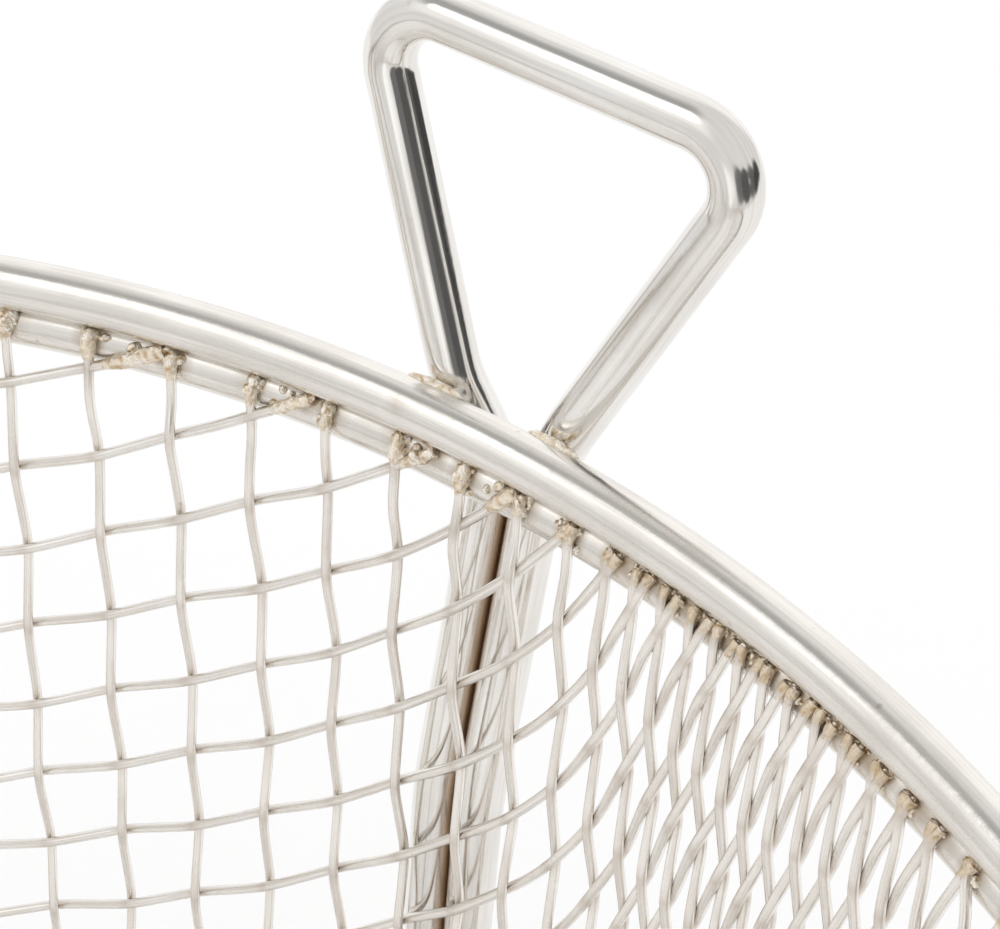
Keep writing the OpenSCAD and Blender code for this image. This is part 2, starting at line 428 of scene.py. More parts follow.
@dataclass
class WovenCloth:
    """The pressed cloth's wires, their crimp and their ends on the bead ring.

    Args:
        form: The bowl's profile.
        net: The pressed net.
        drifts: The wires' drifts from the net, which add up.
        turn: Angle from the hook round to the cloth's first straight line.
        shute_shift: Place of the shute's wires between the net's lines, in pitches.
        warp_shift: The same for the warp's wires.
        shute_crimp: How far a shute wire leaves the middle surface at a crossing.
        warp_crimp: The same for a warp wire.
        kink: How pointed the crimp's wave is, under 1.
    """

    form: BowlForm
    net: PressedNet
    drifts: tuple[Unevenness | FrontPull, ...]
    turn: float = math.radians(30.9)
    shute_shift: float = 0.9
    warp_shift: float = 0.51
    shute_crimp: float = 0.39 * MM
    warp_crimp: float = 0.28 * MM
    kink: float = 0.9
    seat_fade: float = 0.75
    front_half_angle: float = math.radians(33)
    front_depth: float = 46 * MM
    braze_reach: float = 1.1 * MM

    @property
    def outermost(self) -> int:
        """Number of wires to each side that may reach the edge."""
        return int(self.form.edge_length / self.net.pitch) + 1

    def wave(self, run: np.ndarray) -> np.ndarray:
        """Returns the crimp's rounded zigzag, 1 or -1 at whole numbers of run."""
        return np.arcsin(self.kink * np.cos(math.pi * run)) / math.asin(self.kink)

    def strand(self, family: Family, number: int, steps: int) -> Strand | None:
        """One wire of the cloth, from end to end.

        Args:
            family: Warp or shute.
            number: The wire's number, 0 next to the cloth's centre.
            steps: Points for each pitch.

        Returns:
            The wire, or None where the number lies past the edge.
        """
        own_shift, cross_shift = self.shute_shift, self.warp_shift
        crimp, side = self.shute_crimp, 1 if number % 2 == 0 else -1
        if family is Family.WARP:
            own_shift, cross_shift = cross_shift, own_shift
            crimp, side = self.warp_crimp, -side
        reach = (self.outermost + 2) * steps
        run = np.arange(-reach, reach + 1) / steps + cross_shift
        own = np.full_like(run, number + own_shift)
        u, v = (run, own) if family is Family.SHUTE else (own, run)
        moves = [drift.drift(u, v) for drift in self.drifts]
        u = u + sum(move[0] for move in moves)
        v = v + sum(move[1] for move in moves)
        length, azimuth = self.net.at(u, v)
        end = self.form.edge_length + self.form.wrap_length
        inside = np.flatnonzero(length < end)
        if len(inside) < 2 * steps:
            return None
        first, last = inside[0], inside[-1]
        keep = slice(first, last + 1)
        length, azimuth, run = length[keep], azimuth[keep], run[keep]
        inward = side * crimp * self.wave(run - cross_shift)
        seat = self.form.half_cloth + self.form.seat_gap - self.form.cloth_wire / 2
        lift = seat - self.shute_crimp - inward
        fade = self.seat_fade * self.net.pitch
        seated = smoothstep(self.form.edge_length - fade, self.form.edge_length, length)
        lift = lift * (1 - seated) + seat * seated
        points = self.form.place(length, self.turn - azimuth, lift)
        # Painted shade: brown at each crossing, where the wires press on one another.
        crossing_shade = np.abs(np.cos(math.pi * (run - cross_shift))) ** 20 * 0.3
        burnt = 0.8 * smoothstep(self.form.edge_length, end, length)
        return Strand(points, np.ones(len(points)), np.maximum(crossing_shade, burnt))

    def passes_front(self, strand: Strand) -> bool:
        """Returns whether a wire passes the part of the bowl near the hook."""
        azimuth = np.arctan2(strand.points[:, 1], strand.points[:, 0])
        low = self.form.top_height - self.front_depth
        near = (np.abs(azimuth) < self.front_half_angle) & (strand.points[:, 2] > low)
        return bool(near.any())

    def strands(self, family: Family, grade: Grade, steps: int) -> list[Strand]:
        """All wires of one family and grade.

        Args:
            family: Warp or shute.
            grade: Near wires or far ones.
            steps: Points for each pitch.

        Returns:
            The wires.
        """
        found = []
        for number in range(-self.outermost - 1, self.outermost + 1):
            made = self.strand(family, number, steps)
            if made is not None and self.passes_front(made) == (grade is Grade.NEAR):
                found.append(made)
        return found

    def ends(self, grade: Grade, steps: int) -> list[np.ndarray]:
        """The last stretch of the wires, from below the bead ring to the groove.

        Args:
            grade: Ends near the hook or the others.
            steps: Points for each pitch.

        Returns:
            One row of points for each wire's end, last point in the groove.
        """
        found = []
        low = self.form.bead.height - self.braze_reach
        for family in Family:
            for number in range(-self.outermost - 1, self.outermost + 1):
                made = self.strand(family, number, steps)
                if made is None:
                    continue
                for points in (made.points[::-1], made.points):
                    below = np.flatnonzero(points[:, 2] < low)
                    azimuth = abs(math.atan2(points[-1, 1], points[-1, 0]))
                    near = azimuth < self.front_half_angle
                    if len(below) and near == (grade is Grade.NEAR):
                        found.append(points[below[-1] + 1 :])
        return [points for points in found if len(points) > 2]


@dataclass(frozen=True)
class CarrierRoute:
    """Middle line of the one wire that makes the hook, the cradle and the handle."""

    form: BowlForm
    wire: float = 3.2 * MM
    run_gap: float = 0.1 * MM
    lay_drop: float = 26 * MM
    lay_bend: float = 30 * MM
    hook_rise: float = 21.5 * MM
    hook_lean: float = math.radians(19)
    hook_bar: float = 27.2 * MM
    hook_neck: float = 8.6 * MM
    hook_corner_bend: float = 3.4 * MM
    hook_foot_bend: float = 6 * MM
    neck_bend: float = 6 * MM
    handle_reach: float = 212 * MM
    handle_rise: float = math.radians(14)
    handle_root_height: float = 13 * MM
    handle_root_bend: float = 10 * MM
    handle_width: float = 22 * MM
    handle_neck: float = 30 * MM
    handle_spread: float = 36 * MM
    handle_spread_bend: float = 40 * MM
    handle_end_bend: float = 7.5 * MM
    rod_step: float = 1.6 * MM
    bend_step: float = math.radians(5)

    @property
    def pass_radius(self) -> float:
        """Radius at which the runs pass outside both rings."""
        widest = max(self.form.rim_wire, self.form.bead_wire)
        return self.form.rim.radius + (widest + self.wire) / 2 + self.form.seat_gap

    @property
    def run_side(self) -> float:
        """Half the distance between the two runs where they lie side by side."""
        return (self.wire + self.run_gap) / 2

    @property
    def hook_foot(self) -> Vector:
        """Where a leg starts to lean, as radius and height."""
        rise = (self.form.rim_wire + self.wire) / 2 + self.form.seat_gap
        return Vector((self.pass_radius, self.form.rim.height + rise * math.tan(self.hook_lean / 2)))

    @property
    def legs_join(self) -> Vector:
        """Where the legs have come together, as radius and height."""
        spread = (self.hook_bar - self.hook_neck) / 2 / self.hook_rise
        return self.hook_foot - Vector((0, (self.hook_neck / 2 - self.run_side) / spread))

    def corners(self) -> list[tuple[Vector, float]]:
        """Returns the closed wire's corners in order, each with its bend radius.

        The order starts under the floor, where the start and end aren't seen.
        """
        up = Vector((math.sin(self.form.taper), math.cos(self.form.taper)))
        out = Vector((up.y, -up.x))
        off = self.form.half_cloth + self.wire / 2 + self.form.seat_gap
        wall = Vector((self.form.top_radius, self.form.top_height)) + off * out
        lay_on = wall - self.lay_drop * up
        under = wall - (wall.y - self.wire / 2) / up.y * up
        lean = Vector((math.sin(self.hook_lean), math.cos(self.hook_lean)))
        hook_top = self.hook_foot + self.hook_rise * lean
        away = Vector((math.cos(self.handle_rise), math.sin(self.handle_rise)))
        root = Vector((self.pass_radius, self.form.rim.height + self.handle_root_height))
        spread_start = root + self.handle_neck * away
        spread_end = spread_start + self.handle_spread * away
        end = root + self.handle_reach / away.x * away
        floor_bend = self.form.corner_radius + off
        front = [
            (hook_top, self.hook_bar / 2, self.hook_corner_bend),
            (self.hook_foot, self.hook_neck / 2, self.hook_foot_bend),
            (self.legs_join, self.run_side, self.neck_bend),
            (lay_on, self.run_side, self.lay_bend),
            (under, self.run_side, floor_bend),
        ]
        back = [
            (under, self.run_side, floor_bend),
            (lay_on, self.run_side, self.lay_bend),
            (self.legs_join, self.run_side, self.neck_bend),
            (root, self.run_side, self.handle_root_bend),
            (spread_start, self.run_side, self.handle_spread_bend),
            (spread_end, self.handle_width / 2, self.handle_spread_bend),
            (end, self.handle_width / 2, self.handle_end_bend),
        ]
        one = [(Vector((p.x, y, p.y)), bend) for p, y, bend in front]
        one += [(Vector((-p.x, y, p.y)), bend) for p, y, bend in back]
        other = [(Vector((p.x, -p.y, p.z)), bend) for p, bend in reversed(one)]
        closed = one + other
        return closed[len(front) :] + closed[: len(front)]

    def centreline(self) -> np.ndarray:
        """Returns closely spaced points of the closed wire's middle line."""
        corners = self.corners()
        rounded: list[list[Vector]] = []
        for index, (corner, bend) in enumerate(corners):
            before = corners[index - 1][0]
            after = corners[(index + 1) % len(corners)][0]
            along = (corner - before).normalized()
            onward = (after - corner).normalized()
            turn = along.angle(onward)
            inward = (onward - along * along.dot(onward)).normalized()
            start = corner - along * bend * math.tan(turn / 2)
            centre = start + inward * bend
            count = max(2, math.ceil(turn / self.bend_step))
            angles = [turn * k / count for k in range(count + 1)]
            rounded.append([centre + bend * (along * math.sin(a) - inward * math.cos(a)) for a in angles])
        points: list[Vector] = []
        for index, arc in enumerate(rounded):
            points += arc
            start, stop = arc[-1], rounded[(index + 1) % len(rounded)][0]
            count = max(1, round((stop - start).length / self.rod_step))
            points += [start.lerp(stop, k / count) for k in range(1, count)]
        return np.array([list(p) for p in points])


class Recipe:
    """A Geometry Nodes tree with named inputs, run once on a source mesh."""

    def __init__(self, name: str, inputs: dict[str, str]) -> None:
        """Starts a tree with its inputs and nothing between them and the output.

        Args:
            name: Of the tree.
            inputs: Blender's socket type for each named input.
        """
        self.tree = bpy.data.node_groups.new(name, "GeometryNodeTree")
        self.identifiers: dict[str, str] = {}
        for label, kind in {"Geometry": "NodeSocketGeometry", **inputs}.items():
            socket = self.tree.interface.new_socket(label, in_out="INPUT", socket_type=kind)
            self.identifiers[label] = socket.identifier
        self.tree.interface.new_socket("Geometry", in_out="OUTPUT", socket_type="NodeSocketGeometry")
        self.entry = self.tree.nodes.new("NodeGroupInput")
        self.exit = self.tree.nodes.new("NodeGroupOutput")

    def node(self, kind: str, **settings: Any) -> bpy.types.Node:
        """Adds a node.

        Args:
            kind: Blender's node type.
            **settings: Properties of the node.

        Returns:
            The node.
        """
        made = self.tree.nodes.new(kind)
        for name, value in settings.items():
            setattr(made, name, value)
        return made

    def link(self, source: bpy.types.NodeSocket, target: bpy.types.NodeSocket) -> None:
        """Links an output socket to an input socket."""
        self.tree.links.new(source, target)

    def attribute(self, name: str) -> bpy.types.NodeSocket:
        """Returns the output of a node that reads a float attribute."""
        reader = self.node("GeometryNodeInputNamedAttribute", data_type="FLOAT")
        reader.inputs["Name"].default_value = name
        return reader.outputs["Attribute"]

    def stored(
        self, shape: bpy.types.NodeSocket, name: str, value: bpy.types.NodeSocket, kind: str = "FLOAT"
    ) -> bpy.types.NodeSocket:
        """Stores a value on a shape's points.

        Args:
            shape: The output that holds the shape.
            name: Of the attribute.
            value: The output that holds the value.
            kind: Blender's type of the attribute.

        Returns:
            The output that holds the shape with its attribute.
        """
        keeper = self.node("GeometryNodeStoreNamedAttribute", data_type=kind, domain="POINT")
        keeper.inputs["Name"].default_value = name
        self.link(shape, keeper.inputs["Geometry"])
        self.link(value, keeper.inputs["Value"])
        return keeper.outputs["Geometry"]

    def math(
        self, operation: str, first: bpy.types.NodeSocket, second: bpy.types.NodeSocket | float
    ) -> bpy.types.NodeSocket:
        """Adds a math node with two values.

        Args:
            operation: What it does.
            first: The output that holds the first value.
            second: The second value, or the output that holds it.

        Returns:
            The result's output.
        """
        made = self.node("ShaderNodeMath", operation=operation)
        self.link(first, made.inputs[0])
        if isinstance(second, bpy.types.NodeSocket):
            self.link(second, made.inputs[1])
        else:
            made.inputs[1].default_value = second
        return made.outputs["Value"]

    def swept(self) -> bpy.types.NodeSocket:
        """Sweeps a round wire along the input's polylines, by their girth.

        Returns:
            The output that holds the swept wires.
        """
        curve = self.node("GeometryNodeMeshToCurve")
        self.link(self.entry.outputs["Geometry"], curve.inputs["Mesh"])
        travelled = self.node("GeometryNodeSplineParameter").outputs["Length"]
        line = self.stored(curve.outputs["Curve"], ALONG, travelled)
        circle = self.node("GeometryNodeCurvePrimitiveCircle")
        self.link(self.entry.outputs["Sides"], circle.inputs["Resolution"])
        self.link(self.math("MULTIPLY", self.entry.outputs["Diameter"], 0.5), circle.inputs["Radius"])
        outward = self.node("ShaderNodeVectorMath", operation="NORMALIZE")
        self.link(self.node("GeometryNodeInputPosition").outputs["Position"], outward.inputs[0])
        section = self.stored(circle.outputs["Curve"], AROUND, outward.outputs["Vector"], "FLOAT_VECTOR")
        tube = self.node("GeometryNodeCurveToMesh")
        tube.inputs["Fill Caps"].default_value = True
        self.link(line, tube.inputs["Curve"])
        self.link(section, tube.inputs["Profile Curve"])
        self.link(self.attribute(GIRTH), tube.inputs["Scale"])
        return tube.outputs["Mesh"]

    def roughened(self, shape: bpy.types.NodeSocket) -> bpy.types.NodeSocket:
        """Moves a shape's surface in and out by noise, and stains its hollows.

        Args:
            shape: The output that holds the shape.

        Returns:
            The output that holds the lumpy shape.
        """
        noise = self.node("ShaderNodeTexNoise", noise_dimensions="4D")
        noise.inputs["Detail"].default_value = 3.0
        self.link(self.entry.outputs["Lump Scale"], noise.inputs["Scale"])
        self.link(self.entry.outputs["Seed"], noise.inputs["W"])
        centred = self.math("SUBTRACT", noise.outputs["Fac"], 0.45)
        height = self.math("MULTIPLY", centred, self.entry.outputs["Lump Height"])
        hollow = self.node("ShaderNodeMapRange")
        hollow.inputs["From Min"].default_value = 0.52
        hollow.inputs["From Max"].default_value = 0.36
        self.link(noise.outputs["Fac"], hollow.inputs["Value"])
        deeper = self.math("MAXIMUM", self.attribute(STAIN_AND_SHADE), hollow.outputs["Result"])
        browned = self.stored(shape, STAIN_AND_SHADE, deeper)
        offset = self.node("ShaderNodeVectorMath", operation="SCALE")
        self.link(self.node("GeometryNodeInputNormal").outputs["Normal"], offset.inputs[0])
        self.link(height, offset.inputs["Scale"])
        moved = self.node("GeometryNodeSetPosition")
        self.link(browned, moved.inputs["Geometry"])
        self.link(offset.outputs["Vector"], moved.inputs["Offset"])
        return moved.outputs["Geometry"]

    def finish(self, last: bpy.types.NodeSocket) -> None:
        """Ends the tree in smooth shading, realized instances and a material.

        Args:
            last: The output that holds the shape.
        """
        smooth = self.node("GeometryNodeSetShadeSmooth")
        realize = self.node("GeometryNodeRealizeInstances")
        material = self.node("GeometryNodeSetMaterial")
        self.link(last, smooth.inputs["Geometry"])
        self.link(smooth.outputs["Geometry"], realize.inputs["Geometry"])
        self.link(realize.outputs["Geometry"], material.inputs["Geometry"])
        self.link(self.entry.outputs["Material"], material.inputs["Material"])
        self.link(material.outputs["Geometry"], self.exit.inputs["Geometry"])

    def run(self, source: bpy.types.Object, values: dict[str, Any]) -> bpy.types.Object:
        """Runs the tree on an object and leaves a plain mesh.

        Args:
            source: The object that holds the tree's input mesh.
            values: One value for each of the tree's named inputs.

        Returns:
            The same object with its new mesh.
        """
        modifier = source.modifiers.new(self.tree.name, "NODES")
        modifier.node_group = self.tree
        for name, value in values.items():
            modifier[self.identifiers[name]] = value
        graph = bpy.context.evaluated_depsgraph_get()
        made = bpy.data.meshes.new_from_object(
            source.evaluated_get(graph), preserve_all_data_layers=True, depsgraph=graph
        )
        source.modifiers.remove(modifier)
        made.name = source.name
        source.data = made
        return source


class SweepRecipe(Recipe):
    """Sweeps a round wire along polylines, thicker or thinner by their girth."""

    def __init__(self) -> None:
        """Builds the tree."""
        super().__init__("wire_sweep", WIRE_INPUTS)
        self.finish(self.swept())


class LumpRecipe(Recipe):
    """Sweeps a coat of braze along polylines and roughens it into lumps."""

    def __init__(self) -> None:
        """Builds the tree."""
        super().__init__("braze_coat", {**WIRE_INPUTS, **LUMP_INPUTS})
        self.finish(self.roughened(self.swept()))


class NuggetRecipe(Recipe):
    """Sets a rough little nugget of braze on every point."""

    def __init__(self) -> None:
        """Builds the tree."""
        own = {"Fineness": WHOLE_SOCKET, "Random Seed": WHOLE_SOCKET}
        super().__init__("braze_nuggets", {**WIRE_INPUTS, **LUMP_INPUTS, **own})
        ball = self.node("GeometryNodeMeshIcoSphere")
        self.link(self.entry.outputs["Fineness"], ball.inputs["Subdivisions"])
        self.link(self.math("MULTIPLY", self.entry.outputs["Diameter"], 0.5), ball.inputs["Radius"])
        points = self.node("GeometryNodeMeshToPoints")
        self.link(self.entry.outputs["Geometry"], points.inputs["Mesh"])
        stretch = self.node("FunctionNodeRandomValue", data_type="FLOAT_VECTOR")
        stretch.inputs[0].default_value = (0.6, 0.6, 0.5)
        stretch.inputs[1].default_value = (1.5, 1.2, 1.0)
        self.link(self.entry.outputs["Random Seed"], stretch.inputs["Seed"])
        spin = self.node("FunctionNodeRandomValue", data_type="FLOAT_VECTOR")
        spin.inputs[1].default_value = (2 * math.pi,) * 3
        self.link(self.entry.outputs["Random Seed"], spin.inputs["Seed"])
        sized = self.node("ShaderNodeVectorMath", operation="SCALE")
        self.link(stretch.outputs[0], sized.inputs[0])
        self.link(self.attribute(GIRTH), sized.inputs["Scale"])
        placed = self.node("GeometryNodeInstanceOnPoints")
        self.link(points.outputs["Points"], placed.inputs["Points"])
        self.link(ball.outputs["Mesh"], placed.inputs["Instance"])
        self.link(spin.outputs[0], placed.inputs["Rotation"])
        self.link(sized.outputs["Vector"], placed.inputs["Scale"])
        single = self.node("GeometryNodeRealizeInstances")
        self.link(placed.outputs["Instances"], single.inputs["Geometry"])
        self.finish(self.roughened(single.outputs["Geometry"]))


def line_object(name: str, strands: list[Strand]) -> bpy.types.Object:
    """An object that holds wires as polylines, at the origin.

    Args:
        name: Of the piece.
        strands: Its wires.

    Returns:
        The object, linked to the scene.
    """
    edges, start = [], 0
    for strand in strands:
        count = len(strand.points)
        edges += [(start + k, start + k + 1) for k in range(count - 1)]
        if strand.closed:
            edges.append((start + count - 1, start))
        start += count
    mesh = bpy.data.meshes.new(name)
    mesh.from_pydata(np.concatenate([s.points for s in strands]).tolist(), edges, [])
    for label, values in ((GIRTH, [s.girth for s in strands]), (STAIN_AND_SHADE, [s.stain_and_shade for s in strands])):
        layer = mesh.attributes.new(label, "FLOAT", "POINT")
        layer.data.foreach_set("value", np.concatenate(values).astype(np.float32))
    piece = bpy.data.objects.new(name, mesh)
    bpy.context.scene.collection.objects.link(piece)
    bpy.context.view_layer.update()
    return piece


def dress(piece: bpy.types.Object, slot: Slot, *nodes: str) -> None:
    """Hangs a finished piece on the frame and reports it.

    Args:
        piece: The finished piece.
        slot: Not used.
        *nodes: CAD nodes that it stands for.
    """
    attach(piece, BODY)
    if nodes:
        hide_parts(*nodes)
    piece.data.calc_loop_triangles()
    LOG.info("%s: %d triangles", piece.name, len(piece.data.loop_triangles))


@dataclass(frozen=True)
class NickelFinish:
    """One plated finish.

    Args:
        name: Of the material.
        bright: Colour where the plating is clean.
        dull: Colour where it has gone dull.
        browned: Colour of pits and stains, and also of painted shade and shadow.
        roughness: Where the plating is clean.
        dull_roughness: Where it has gone dull.
        cloud_scale: Clouds of dullness for each metre.
        speck_amount: Share of tiny pits, from 0 to 1.
        ripple: Height of the plating's unevenness.
        ripple_scale: Ripples for each metre.
        metallic: Share of bare metal, under 1 where a crust lies on it.
    """

    name: str
    bright: Colour
    dull: Colour
    browned: Colour
    roughness: float
    dull_roughness: float
    cloud_scale: float
    speck_amount: float
    ripple: float
    ripple_scale: float
    metallic: float = 1.0


RING_NICKEL = NickelFinish(
    name="ring_nickel",
    bright=(0.85, 0.82, 0.775),
    dull=(0.75, 0.715, 0.665),
    # Brown of pits and rust, and also of the painted shadow round the cloth's ends and the painted shade
    # where the rings meet.
    browned=(0.42, 0.32, 0.21),
    roughness=0.17,
    dull_roughness=0.3,
    cloud_scale=160,
    speck_amount=0.5,
    ripple=0.01 * MM,
    ripple_scale=1500,
)
CARRIER_NICKEL = NickelFinish(
    name="carrier_nickel",
    bright=(0.88, 0.86, 0.83),
    dull=(0.77, 0.74, 0.70),
    # Brown of pits, and also of the painted shade between the carrier's two runs.
    browned=(0.56, 0.43, 0.31),
    roughness=0.08,
    dull_roughness=0.17,
    cloud_scale=120,
    speck_amount=0.3,
    ripple=0.008 * MM,
    ripple_scale=700,
)
CLOTH_NICKEL = NickelFinish(
    name="cloth_nickel",
    bright=(0.93, 0.90, 0.86),
    dull=(0.84, 0.795, 0.74),
    # Brown of pits and burnt ends, and also of the painted shade where the wires cross.
    browned=(0.45, 0.35, 0.25),
    roughness=0.2,
    dull_roughness=0.33,
    cloud_scale=260,
    speck_amount=0.4,
    ripple=0.008 * MM,
    ripple_scale=1300,
)
BRAZE = NickelFinish(
    name="braze",
    bright=(0.98, 0.94, 0.87),
    dull=(0.92, 0.80, 0.61),
    browned=(0.56, 0.39, 0.2),
    roughness=0.2,
    dull_roughness=0.4,
    cloud_scale=1300,
    speck_amount=0.8,
    ripple=0.16 * MM,
    ripple_scale=3600,
    metallic=0.65,
)


class PlatingShop:
    """Makes the metal materials, all on one shader node group."""

    def __init__(self) -> None:
        """Builds the shared node group."""
        self.wear = self.build_wear()

    @staticmethod
    def build_wear() -> bpy.types.NodeTree:
        """Returns the group of cloudy and streaky dullness, specks and rippled normals."""
        group = bpy.data.node_groups.new("plating_wear", "ShaderNodeTree")
        for name, kind in (
            ("Vector", "NodeSocketVector"),
            ("Grain", "NodeSocketVector"),
            ("Cloud Scale", VALUE_SOCKET),
            ("Speck Amount", VALUE_SOCKET),
            ("Ripple Height", VALUE_SOCKET),
            ("Ripple Scale", VALUE_SOCKET),
        ):
            group.interface.new_socket(name, in_out="INPUT", socket_type=kind)
        for name, kind in (
            ("Dullness", VALUE_SOCKET),
            ("Specks", VALUE_SOCKET),
            ("Normal", "NodeSocketVector"),
        ):
            group.interface.new_socket(name, in_out="OUTPUT", socket_type=kind)
        nodes, link = group.nodes, group.links.new
        entry, leave = nodes.new("NodeGroupInput"), nodes.new("NodeGroupOutput")
        clouds = nodes.new("ShaderNodeTexNoise")
        clouds.inputs["Detail"].default_value = 4.0
        link(entry.outputs["Vector"], clouds.inputs["Vector"])
        link(entry.outputs["Cloud Scale"], clouds.inputs["Scale"])
        streaks = nodes.new("ShaderNodeTexNoise")
        streaks.inputs["Scale"].default_value = 8.0
        link(entry.outputs["Grain"], streaks.inputs["Vector"])
        both = nodes.new("ShaderNodeMath")
        link(clouds.outputs["Fac"], both.inputs[0])
        link(streaks.outputs["Fac"], both.inputs[1])
        dullness = nodes.new("ShaderNodeMapRange")
        dullness.inputs["From Min"].default_value = 0.82
        dullness.inputs["From Max"].default_value = 1.22
        link(both.outputs["Value"], dullness.inputs["Value"])
        link(dullness.outputs["Result"], leave.inputs["Dullness"])
        pits = nodes.new("ShaderNodeTexVoronoi")
        pits.inputs["Scale"].default_value = 700
        link(entry.outputs["Vector"], pits.inputs["Vector"])
        pit = nodes.new("ShaderNodeMapRange")
        pit.inputs["From Min"].default_value = 0.16
        pit.inputs["From Max"].default_value = 0.07
        link(pits.outputs["Distance"], pit.inputs["Value"])
        chosen = nodes.new("ShaderNodeMapRange")
        chosen.inputs["From Min"].default_value = 0.7
        chosen.inputs["From Max"].default_value = 1.0
        chance = nodes.new("ShaderNodeSeparateColor")
        link(pits.outputs["Color"], chance.inputs["Color"])
        link(chance.outputs["Red"], chosen.inputs["Value"])
        link(entry.outputs["Speck Amount"], chosen.inputs["To Max"])
        speck = nodes.new("ShaderNodeMath")
        speck.operation = "MULTIPLY"
        link(pit.outputs["Result"], speck.inputs[0])
        link(chosen.outputs["Result"], speck.inputs[1])
        link(speck.outputs["Value"], leave.inputs["Specks"])
        ripples = nodes.new("ShaderNodeTexNoise")
        ripples.inputs["Detail"].default_value = 2.0
        link(entry.outputs["Vector"], ripples.inputs["Vector"])
        link(entry.outputs["Ripple Scale"], ripples.inputs["Scale"])
        bump = nodes.new("ShaderNodeBump")
        link(ripples.outputs["Fac"], bump.inputs["Height"])
        link(entry.outputs["Ripple Height"], bump.inputs["Distance"])
        link(bump.outputs["Normal"], leave.inputs["Normal"])
        return group

    def plated(self, finish: NickelFinish) -> bpy.types.Material:
        """Makes the material of one finish.

        Args:
            finish: The finish's colours and wear.

        Returns:
            The material.
        """
        material = bpy.data.materials.new(finish.name)
        material.use_nodes = True
        nodes, link = material.node_tree.nodes, material.node_tree.links.new
        shader = nodes["Principled BSDF"]
        shader.inputs["Metallic"].default_value = finish.metallic
        coordinates = nodes.new("ShaderNodeTexCoord")
        wear = nodes.new("ShaderNodeGroup")
        wear.node_tree = self.wear
        wear.inputs["Cloud Scale"].default_value = finish.cloud_scale
        wear.inputs["Speck Amount"].default_value = finish.speck_amount
        wear.inputs["Ripple Height"].default_value = finish.ripple
        wear.inputs["Ripple Scale"].default_value = finish.ripple_scale
        link(coordinates.outputs["Object"], wear.inputs["Vector"])
        around = nodes.new("ShaderNodeAttribute")
        around.attribute_name = AROUND
        along = nodes.new("ShaderNodeAttribute")
        along.attribute_name = ALONG
        drawn = nodes.new("ShaderNodeMath")
        drawn.operation = "MULTIPLY"
        drawn.inputs[1].default_value = STREAK_SPEED
        link(along.outputs["Fac"], drawn.inputs[0])
        lengthwise = nodes.new("ShaderNodeCombineXYZ")
        link(drawn.outputs["Value"], lengthwise.inputs["Z"])
        grain = nodes.new("ShaderNodeVectorMath")
        link(around.outputs["Vector"], grain.inputs[0])
        link(lengthwise.outputs["Vector"], grain.inputs[1])
        link(grain.outputs["Vector"], wear.inputs["Grain"])
        aged =self.blend(material, wear.outputs["Dullness"], finish.bright, finish.dull)
        pitted = self.blend(material, wear.outputs["Specks"], aged, finish.browned)
        # Browns the colour by that attribute, which also holds painted shade and shadow.
        stain_and_shade = nodes.new("ShaderNodeAttribute")
        stain_and_shade.attribute_name = STAIN_AND_SHADE
        coloured = self.blend(material, stain_and_shade.outputs["Fac"], pitted, finish.browned)
        link(coloured, shader.inputs["Base Color"])
        rough = nodes.new("ShaderNodeMapRange")
        rough.inputs["To Min"].default_value = finish.roughness
        rough.inputs["To Max"].default_value = finish.dull_roughness
        link(wear.outputs["Dullness"], rough.inputs["Value"])
        stained_rough = nodes.new("ShaderNodeMath")
        stained_rough.operation = "MULTIPLY_ADD"
        stained_rough.inputs[1].default_value = 0.25
        link(stain_and_shade.outputs["Fac"], stained_rough.inputs[0])
        link(rough.outputs["Result"], stained_rough.inputs[2])
        link(stained_rough.outputs["Value"], shader.inputs["Roughness"])
        link(wear.outputs["Normal"], shader.inputs["Normal"])
        return material

    @staticmethod
    def blend(
        material: bpy.types.Material,
        share: bpy.types.NodeSocket,
        base: bpy.types.NodeSocket | Colour,
        over: Colour,
    ) -> bpy.types.NodeSocket:
        """Adds a colour mix to a material.

        Args:
            material: The material.
            share: The output that says how much of the second colour shows.
            base: The first colour, or the output that gives it.
            over: The second colour.

        Returns:
            The mixed colour's output.
        """
        mix = material.node_tree.nodes.new("ShaderNodeMix")
        mix.data_type = "RGBA"
        material.node_tree.links.new(share, mix.inputs["Factor"])
        if isinstance(base, bpy.types.NodeSocket):
            material.node_tree.links.new(base, mix.inputs[6])
        else:
            mix.inputs[6].default_value = (*base, 1.0)
        mix.inputs[7].default_value = (*over, 1.0)
        return mix.outputs[2]


def vertex_places(piece: bpy.types.Object) -> np.ndarray:
    """Returns the places of a piece's vertices as rows of X, Y, Z."""
    places = np.zeros(3 * len(piece.data.vertices), dtype=np.float32)
    piece.data.vertices.foreach_get("co", places)
    return places.reshape(-1, 3).astype(float)


def gaps_to(places: np.ndarray, sources: np.ndarray) -> np.ndarray:
    """Distances to the nearest source.

    Args:
        places: Rows of X, Y, Z to measure from.
        sources: Rows of X, Y, Z to measure to.

    Returns:
        One distance for each place.
    """
    tree = KDTree(len(sources))
    for index, spot in enumerate(sources):
        tree.insert(spot, index)
    tree.balance()
    return np.array([tree.find(spot)[2] for spot in places])


def write_stain_and_shade(piece: bpy.types.Object, stain_and_shade: np.ndarray) -> None:
    """Writes a piece's browning, one value from 0 to 1 for each vertex: real stains, and also painted
    shade and shadow.
    """
    layer = piece.data.attributes[STAIN_AND_SHADE]
    layer.data.foreach_set("value", stain_and_shade.astype(np.float32))


@dataclass(frozen=True)
class BrazeGrade:
    """How finely the braze is made on one grade of wire ends.

    Args:
        steps: Points for each pitch of a coat.
        sides: Of a coat's section.
        fineness: Times that a nugget's ball is subdivided.
        crumbs: Crumbs by each end.
    """

    steps: int
    sides: int
    fineness: int
    crumbs: int


